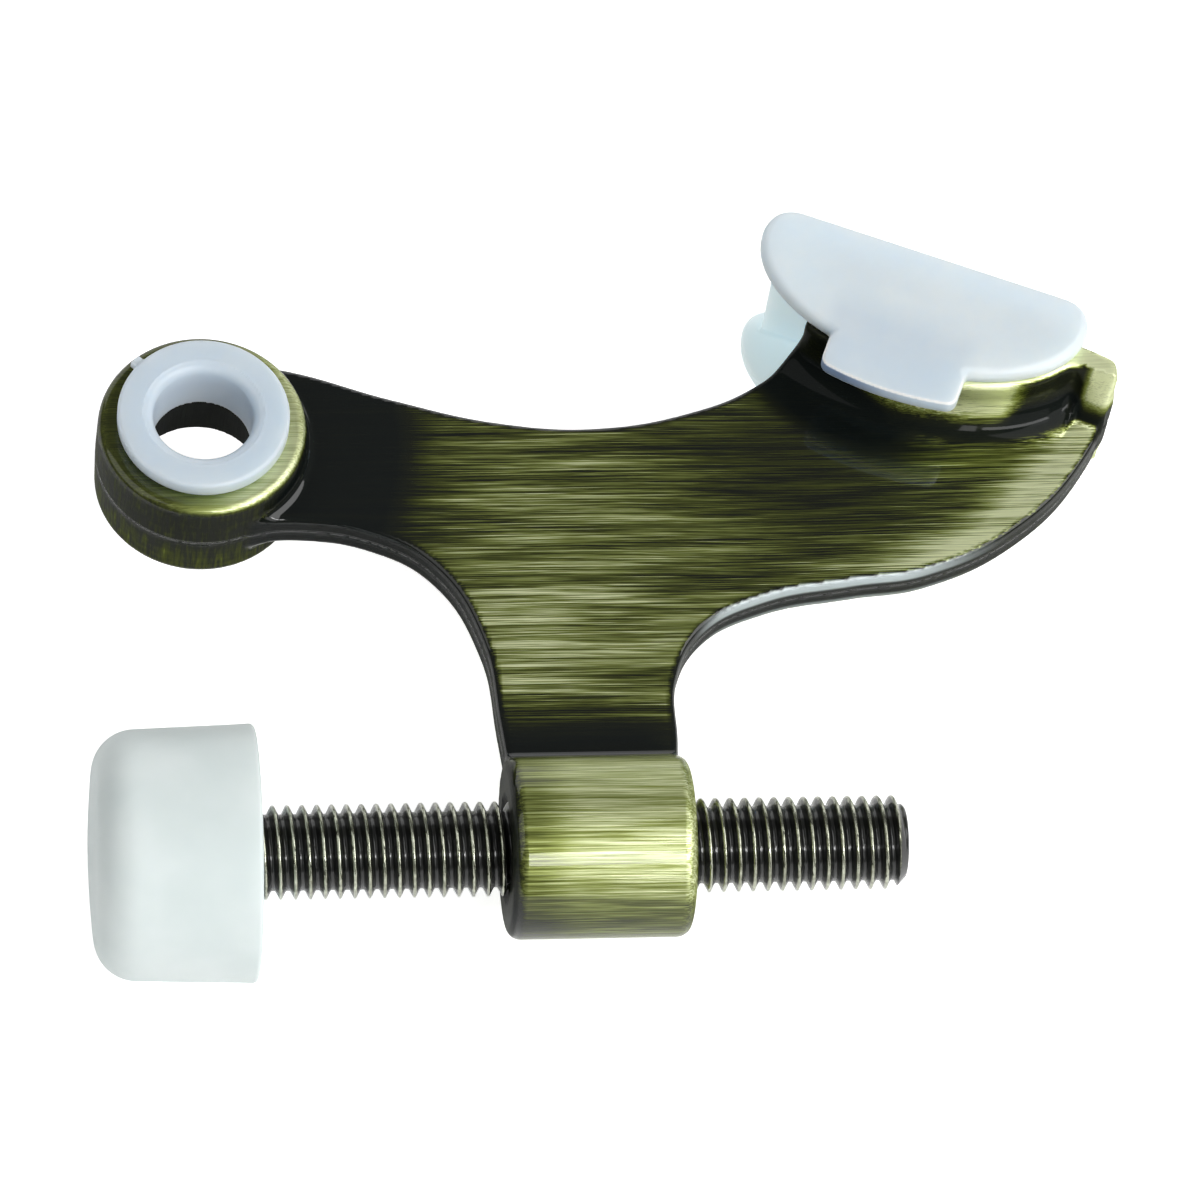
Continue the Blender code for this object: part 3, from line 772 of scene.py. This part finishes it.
def thread_material():
    """Stud: blackened roots, and brass where the crests have rubbed."""
    nodes = Nodes("dark_antique_brass_thread")
    split = nodes.add("ShaderNodeSeparateXYZ")
    nodes.link(nodes.place, split.inputs[0])
    across, height = nodes.math("ADD", split.outputs["Y"], -STUD_AXIS_Y), split.outputs["Z"]
    radius = nodes.math("SQRT", nodes.math("ADD", nodes.math("MULTIPLY", across, across),
                                           nodes.math("MULTIPLY", height, height)))
    blotch = nodes.noise(nodes.place, scale=2.2, detail=4.0, rough=0.6)
    patch = nodes.noise(nodes.place, scale=0.35, detail=2.0)
    worn = nodes.span(radius, CREST_RADIUS - THREAD_WEAR, CREST_RADIUS)
    level = nodes.math("ADD", nodes.math("MULTIPLY", worn, 0.75), nodes.swing(blotch, 0.7))
    level = nodes.math("ADD", level, nodes.swing(patch, 0.5), clamp=True)
    colour = nodes.ramp(level, ROOT_TO_CREST)
    nodes.set(Base_Color=colour, Metallic=nodes.span(level, 0.0, 0.4, 0.5, 1.0),
              Roughness=nodes.span(level, 0.0, 0.7, 0.45, 0.24), Coat_Weight=1.0,
              Coat_Roughness=0.07)
    nodes.bump(blotch, 0.03, 0.5)
    return nodes.material


def nylon_material():
    """Milky nylon: pale blue-white, with light scattered inside it, and a painted glow, painted
    shade and painted rim highlights mixed into its colour.
    """
    nodes = Nodes("natural_nylon")
    cloud = nodes.noise(nodes.place, scale=0.25, detail=3.0)
    speck = nodes.noise(nodes.place, scale=7.0, detail=2.0)
    colour = nodes.mix_colour(nodes.span(cloud, 0.3, 0.7), NYLON_DIM, NYLON_PALE)
    colour = nodes.mix_colour(nodes.attribute("shade"), colour, NYLON_SHADE)
    # Painted highlight: white along the tab's rims.
    colour = nodes.mix_colour(nodes.attribute("edge"), colour, NYLON_PAINTED_RIM_HIGHLIGHT)
    # The emission is a painted glow in the pad's lower half, standing in for light carried through
    # the nylon.
    nodes.set(Base_Color=colour, Roughness=nodes.span(speck, 0.3, 0.7, 0.30, 0.42),
              Subsurface_Weight=0.8, Subsurface_Scale=0.003, IOR=1.5,
              Emission_Color=NYLON_GLOW,
              Emission_Strength=nodes.math("MULTIPLY", nodes.attribute("glow"),
                                           NYLON_GLOW_STRENGTH))
    nodes.shader.inputs["Subsurface Radius"].default_value = (0.9, 1.0, 1.1)
    nodes.bump(speck, 0.01, 0.4)
    return nodes.material


def rubber_material():
    """White rubber, faintly green, with a dull moulded skin."""
    nodes = Nodes("white_rubber")
    cloud = nodes.noise(nodes.place, scale=0.12, detail=3.0)
    skin = nodes.noise(nodes.place, scale=5.0, detail=4.0, rough=0.65)
    colour = nodes.mix_colour(nodes.span(cloud, 0.3, 0.7), RUBBER_DIM, RUBBER_PALE)
    nodes.set(Base_Color=colour, Roughness=nodes.span(skin, 0.3, 0.7, 0.36, 0.52),
              Subsurface_Weight=0.2, Subsurface_Scale=0.0012)
    nodes.shader.inputs["Subsurface Radius"].default_value = (1.0, 1.0, 0.9)
    nodes.bump(skin, 0.015, 0.35)
    return nodes.material


def floor_material():
    """Plain and pale, and brighter in the camera's eyes than in the metal's reflections."""
    nodes = Nodes("studio_floor")
    seen = nodes.add("ShaderNodeLightPath").outputs["Is Camera Ray"]
    nodes.set(Base_Color=FLOOR_COLOUR, Roughness=0.9, Emission_Color=WHITE,
              Emission_Strength=nodes.mix(seen, *FLOOR_GLOW))
    return nodes.material


# ---------------------------------------------------------------- pieces

def finish_piece(item, node, body, material):
    """Gives a piece its material, hides the CAD node that it stands in for, and attaches it to its
    body.
    """
    item.data.materials.append(material)
    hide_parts(node)
    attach(item, body)


def hollowness(points, normals):
    """How much of the space in front of each point the casting itself takes up, 0 to 1."""
    hidden = np.zeros(len(points))
    for reach, weight in HOLLOW_REACHES:
        clear = casting_distance(*(points + normals * reach).T) / reach
        hidden += weight * np.clip(1.0 - clear, 0.0, 1.0)
    return hidden


def web_polish_and_painted_highlight(x, y, u, seat):
    """Bright in the stem and near the wing's tip, where a painted highlight is added. u is the
    place along the seat.
    """
    edge = web_outline(x, y)
    polish_and_painted_light = 0.40 + 0.16 * ramp(y, -14.0, -20.0) - 0.21 * ramp(x, 26.0, 14.0)
    for amount, centre, size in WEB_PATCHES:
        polish_and_painted_light += amount * blob(x, y, centre, size)
    polish_and_painted_light -= 0.62 * ramp(np.hypot(x, y), 21.0, 11.0)                           # by the eye
    polish_and_painted_light -= 0.55 * ramp(y, -24.0, -30.0)                                      # by the boss
    # Towards the tip the brass is polished, and brightened further with a painted highlight.
    polish_and_painted_light += 0.85 * ramp(edge, -7.0, -0.4) * ramp(x - 0.9 * y, 60.0, 80.0)     # the tip
    polish_and_painted_light -= 0.55 * ramp(seat, 7.0, 2.0) * ramp(u, 6.0, -2.0)                  # by the seat
    return polish_and_painted_light * (1.0 - 0.9 * ramp(edge, -0.95, -0.5))                       # its side walls


def eye_polish_and_painted_light(x, y, z, up):
    """Polished on top and brighter towards its right, where painted light falls from the right;
    dark round the wall.
    """
    top = 0.37 + 0.50 * ramp(x - 0.4 * y, -5.0, 9.0)
    wall = 0.20 + 0.08 * ramp(z, 0.0, -3.0)
    return top * ramp(up, 0.3, 0.8) + wall * ramp(up, 0.8, 0.3)


def boss_polish_and_painted_shade(x, y):
    """Bright, with a dark end towards the bumper and painted shade on the underside."""
    polish_and_painted_light = 0.77 - 0.18 * ramp(x, BOSS_START_X + 6.0, BOSS_START_X + 1.5)
    polish_and_painted_light -= 0.50 * ramp(x, BOSS_START_X + 1.2, BOSS_START_X)
    # Painted shade on the underside.
    return polish_and_painted_light - 0.32 * ramp(y, STUD_AXIS_Y - 0.80 * BOSS_RADIUS, STUD_AXIS_Y - BOSS_RADIUS)


def seat_polish(raised, u, up):
    """Bright high on the wall, dark in the notch before the rim and at the left end. raised
    is the height above the web."""
    polish_and_painted_light = 0.04 + 0.98 * ramp(raised, 0.5, 2.4)
    polish_and_painted_light -= 0.85 * ramp(u, 9.5, 12.0) * ramp(u, 16.6, 15.6) * ramp(up, 0.9, 0.5)
    return polish_and_painted_light - 0.85 * ramp(u, 1.0, -5.0)


def casting_looks(points, normals):
    """One number a point for each attribute that brass_material reads: how far it is polished
    back to brass, with painted highlights and painted shade mixed in, how upright its brush marks
    are, how faint they are, how thick the lacquer is, and how much it shows of the painted
    highlight along the wing's lower edge."""
    x, y, z = points.T
    sideways, up = np.abs(normals[:, 0]), np.abs(normals[:, 2])
    raised = np.abs(z) - WEB_HALF_THICKNESS
    u = to_seat(x, y)[0]
    seat = seat_distance(x, y, z)
    on_eye = ramp(eye_distance(x, y, z), 0.35, 0.02)
    on_boss = ramp(boss_distance(x, y, z), 0.35, 0.02)
    on_seat = ramp(raised, 0.05, 0.4) * ramp(seat, 5.0, 4.0)
    in_bore = ramp(np.hypot(x, y), EYE_BORE_RADIUS + 0.5, EYE_BORE_RADIUS + 0.1)
    # Painted highlight: a pale blue-grey line on the rounding along the wing's lower edge, on the
    # side facing the front.
    painted_highlight_band = ramp(-normals[:, 1], 0.40, 0.75) * ramp(np.abs(z), 0.75, 1.1) * ramp(up, 0.92, 0.7)
    painted_highlight_band *= ramp(x, 41.0, 45.0) * ramp(x, 70.0, 58.0) * ramp(y, -26.0, -24.0) * (1 - on_boss)
    painted_highlight_band *= ramp(web_outline(x, y), -1.8, -1.2) * ramp(seat, 2.0, 4.0)

    polish_and_painted_light = blend(web_polish_and_painted_highlight(x, y, u, seat), eye_polish_and_painted_light(x, y, z, up), on_eye)
    polish_and_painted_light = blend(polish_and_painted_light, boss_polish_and_painted_shade(x, y), on_boss) - 0.75 * hollowness(points, normals)
    polish_and_painted_light = blend(polish_and_painted_light, seat_polish(raised, u, up), on_seat)
    polish_and_painted_light = blend(blend(polish_and_painted_light, 0.02, in_bore), 0.30, painted_highlight_band)
    upright = np.maximum(on_eye * ramp(up, 0.7, 0.4), ramp(sideways, 0.6, 0.85))
    calm = np.max([0.55 * on_boss, on_eye * (0.62 + 0.30 * ramp(up, 0.4, 0.8)),
                   on_seat * ramp(u, 13.0, 15.0), 0.6 * on_seat, painted_highlight_band], axis=0)
    lacquer = 1.0 - 0.85 * ramp(up, 0.35, 0.1) * (1 - on_boss)
    lacquer -= 0.75 * ramp(sideways, 0.5, 0.8) * on_boss
    lacquer -= 0.8 * ramp(seat, 7.0, 4.0) * ramp(u, 3.0, -1.0) + 0.85 * ramp(seat, 6.0, 4.8)
    painted_edge_highlight = painted_highlight_band * (0.45 + 0.45 * ramp(z, -0.5, 0.5))
    return {"polish_and_painted_light": np.clip(polish_and_painted_light, 0.0, 1.0), "wall_grain": upright, "calm": calm,
            "lacquer": np.clip(lacquer, 0.15, 1.0), "painted_edge_highlight": painted_edge_highlight}


def make_casting():
    points, quads, normals = surface_net(casting_distance, *CASTING_GRID)
    item = mesh_object("door_stop_casting", points, quads, normals)
    for name, values in casting_looks(points, normals).items():
        set_attribute(item, name, values)
    finish_piece(item, "body_casting", "casting", brass_material())


def make_nylon_parts():
    """The bush and the pad. Their painted shade, painted rim highlight and painted glow stand in
    for light inside the nylon; the bush also has a darker tone all over.
    """
    nylon = nylon_material()
    points, quads, normals = surface_net(bush_distance, *BUSH_GRID)
    bush = mesh_object("hinge_pin_bush", points, quads, normals)
    out = np.hypot(points[:, 0], points[:, 1])
    # The bush has a darker tone all over, and painted shade down in its mouth.
    painted_mouth_shade = ramp(points[:, 2], BUSH_TOP - 0.4, BUSH_TOP - 2.5) * ramp(out, 6.0, 5.0)
    set_attribute(bush, "shade", 0.18 + 0.10 * painted_mouth_shade)
    finish_piece(bush, "pin_bush", "casting", nylon)

    points, quads, normals = surface_net(pad_distance, *PAD_GRID)
    pad = mesh_object("door_contact_pad", points, quads, normals)
    u, v = to_seat(points[:, 0], points[:, 1])
    up = np.abs(normals[:, 2])
    # Painted shade: bluish over the tab and on the tab's front wall, where the dark seat below
    # would show through the nylon.
    over_tab = ramp(v, -4.5, -8.5) * ramp(np.abs(u + 0.3), 7.6, 5.2)
    tab_front = ramp(v, -10.2, -11.4)
    front_wall, painted_rim_highlight = ramp(up, 0.45, 0.1), ramp(up, 0.97, 0.8) * ramp(up, 0.2, 0.5)
    shade = 0.15 * over_tab + (0.12 + 0.5 * ramp(u, 2.5, -4.5)) * front_wall * tab_front
    set_attribute(pad, "shade", np.clip(shade, 0.0, 1.0))
    # Painted highlight on the tab's top and bottom rims.
    set_attribute(pad, "edge", painted_rim_highlight * tab_front)
    # Painted glow, stronger lower down on the pad.
    set_attribute(pad, "glow", ramp(points[:, 2], 6.5, 1.0))
    finish_piece(pad, "fixed_pad", "casting", nylon)


def thread_radius(x, angles):
    """Radius of the stud's thread at x: flat roots and crests with straight flanks."""
    flank = (PITCH - CREST_FLAT - ROOT_FLAT) / 2
    place = (x - THREAD_PHASE - PITCH * angles / (2 * math.pi)) % PITCH
    crest = ROOT_FLAT + flank
    return np.interp(place, [0.0, ROOT_FLAT, crest, crest + CREST_FLAT, PITCH],
                     [ROOT_RADIUS, ROOT_RADIUS, CREST_RADIUS, CREST_RADIUS, ROOT_RADIUS])


def make_stud():
    """The stud's hidden head and neck, then its thread with a chamfer at each end."""
    angles = np.linspace(0.0, 2 * math.pi, STUD_SIDES, endpoint=False)
    rings = [ring(x, radius, angles) for x, radius in (
        (HEAD_START_X, STUD_CENTRE_RADIUS), (HEAD_START_X, HEAD_RADIUS - HEAD_EDGE),
        (HEAD_START_X + HEAD_EDGE, HEAD_RADIUS), (HEAD_END_X - HEAD_EDGE, HEAD_RADIUS),
        (HEAD_END_X, HEAD_RADIUS - HEAD_EDGE), (HEAD_END_X, NECK_RADIUS),
        (THREAD_START_X, NECK_RADIUS))]
    for x in np.linspace(THREAD_START_X, STUD_END_X, THREAD_RINGS):
        nearest_end = min(x - THREAD_START_X, STUD_END_X - x)
        limit = STUD_CHAMFER_RADIUS + nearest_end
        rings.append(ring(x, np.minimum(thread_radius(x, angles), limit), angles))
    rings.append(ring(STUD_END_X, STUD_CENTRE_RADIUS, angles))
    stud = rings_object("threaded_stud", rings)
    stud.data.set_sharp_from_angle(angle=STUD_CREASE)
    finish_piece(stud, "adjusting_stud", "stud", thread_material())


def make_bumper():
    """The bumper, turned from a profile that runs from the middle of its face to its pocket."""
    angles = np.linspace(0.0, 2 * math.pi, BUMPER_SIDES, endpoint=False)
    side_x = BUMPER_FACE_X + BUMPER_CROWN + BUMPER_CORNER
    taper = math.tan(BUMPER_DRAFT)
    side_radius = BUMPER_RIM_RADIUS - (BUMPER_RIM_X - side_x) * taper
    corner = (side_x, side_radius - BUMPER_CORNER)
    rim = (BUMPER_RIM_X - BUMPER_EDGE, BUMPER_RIM_RADIUS - BUMPER_EDGE)
    crown = [(BUMPER_FACE_X + BUMPER_CROWN * (radius / corner[1]) ** 2, radius)
             for radius in np.linspace(BUMPER_CENTRE_RADIUS, corner[1], 12)]
    pocket_start, pocket_end = HEAD_START_X - BUMPER_POCKET_GAP, HEAD_END_X + BUMPER_POCKET_GAP
    pocket_radius = HEAD_RADIUS + BUMPER_POCKET_GAP
    mouth_x = THREAD_START_X - BUMPER_POCKET_GAP
    profile = crown + arc(corner, BUMPER_CORNER, 180, 90, 14)[1:]
    profile += [(x, side_radius + (x - side_x) * taper)
                for x in np.linspace(side_x, rim[0], 10)[1:-1]]
    profile += arc(rim, BUMPER_EDGE, 90, 0, 5)
    profile += arc((BUMPER_RIM_X - BUMPER_MOUTH_EDGE, BUMPER_MOUTH_RADIUS + BUMPER_MOUTH_EDGE),
                   BUMPER_MOUTH_EDGE, 0, -90, 4)
    profile += [(mouth_x, BUMPER_MOUTH_RADIUS), (mouth_x, BUMPER_HOLE_RADIUS),
                (pocket_end, BUMPER_HOLE_RADIUS), (pocket_end, pocket_radius),
                (pocket_start, pocket_radius), (pocket_start, BUMPER_CENTRE_RADIUS)]
    bumper = rings_object("rubber_bumper", [ring(x, radius, angles) for x, radius in profile])
    bumper.data.set_sharp_from_angle(angle=BUMPER_CREASE)
    finish_piece(bumper, "stud_bumper", "bumper", rubber_material())


# ---------------------------------------------------------------- studio

def direction(azimuth, elevation):
    """Unit vector towards a place round the object, measured as the camera's is."""
    a, e = math.radians(azimuth), math.radians(elevation)
    return Vector((math.sin(a) * math.cos(e), -math.cos(a) * math.cos(e), math.sin(e)))


def softbox(name, azimuth, elevation, distance, width, height, radiance, aim):
    """An area light that faces aim, with the same brightness whatever its size."""
    light = bpy.data.lights.new(name, "AREA")
    light.shape = "RECTANGLE"
    light.size, light.size_y = width, height
    light.energy = radiance * math.pi * width * height
    item = bpy.data.objects.new(name, light)
    item.location = aim + direction(azimuth, elevation) * distance
    item.rotation_mode = "QUATERNION"
    item.rotation_quaternion = (-direction(azimuth, elevation)).to_track_quat("-Z", "Y")
    item.visible_camera = False
    bpy.context.scene.collection.objects.link(item)


def strip_light(name, start_x, end_x, height, radiance):
    """A light along X, in front of the object and above it, which the boss reflects."""
    middle = (start_x + end_x) / 2
    target = Vector((middle, STUD_AXIS_Y, 0.0)) * MM
    light_at = Vector((middle, STRIP_Y, STRIP_Z)) * MM
    across, away = light_at - target, (light_at - target).length
    elevation = math.degrees(math.asin(across.z / away))
    softbox(name, 0.0, elevation, away, (end_x - start_x) * MM, height, radiance, target)


def make_floor(low):
    half, height = FLOOR_HALF_SIZE, low.z - FLOOR_GAP
    points = [(-half, -half), (half, -half), (half, half), (-half, half)]
    mesh = bpy.data.meshes.new("floor")
    mesh.from_pydata([(x, y, height) for x, y in points], [], [(0, 1, 2, 3)])
    mesh.materials.append(floor_material())
    floor = bpy.data.objects.new("floor", mesh)
    bpy.context.scene.collection.objects.link(floor)


def make_world():
    """White for the camera and dim for every other ray."""
    world = bpy.data.worlds.new("studio")
    bpy.context.scene.world = world
    world.use_nodes = True
    nodes, links = world.node_tree.nodes, world.node_tree.links
    background = nodes["Background"]
    path = nodes.new("ShaderNodeLightPath")
    strength = nodes.new("ShaderNodeMix")
    strength.inputs[2].default_value, strength.inputs[3].default_value = WORLD_GLOW
    links.new(path.outputs["Is Camera Ray"], strength.inputs[0])
    links.new(strength.outputs[0], background.inputs["Strength"])
    background.inputs["Color"].default_value = WHITE


def make_camera():
    """The camera stands to the object's left, high up and a little rolled. Returns its aim."""
    aim = Vector(CAMERA_AIM) * MM
    turn, roll = math.radians(CAMERA_AZIMUTH), math.radians(CAMERA_ROLL)
    back = direction(CAMERA_AZIMUTH, CAMERA_ELEVATION)
    across = Vector((math.cos(turn), math.sin(turn), 0.0))
    up = back.cross(across)
    right = across * math.cos(roll) + up * math.sin(roll)
    top = up * math.cos(roll) - across * math.sin(roll)
    data = bpy.data.cameras.new("camera")
    data.lens, data.sensor_width = CAMERA_LENS, CAMERA_SENSOR
    data.clip_start, data.clip_end = CAMERA_CLIP
    camera = bpy.data.objects.new("camera", data)
    facing = Matrix((right, top, back)).transposed().to_4x4()
    camera.matrix_world = Matrix.Translation(aim + back * CAMERA_DISTANCE) @ facing
    bpy.context.scene.collection.objects.link(camera)
    bpy.context.scene.camera = camera
    return aim


make_casting()
make_nylon_parts()
make_stud()
make_bumper()

aim = make_camera()
make_floor(cad_box[0])
make_world()
for box in SOFTBOXES:
    softbox(*box, aim)
for strip in STRIP_LIGHTS:
    strip_light(*strip)

bpy.context.scene.view_settings.view_transform = "Standard"
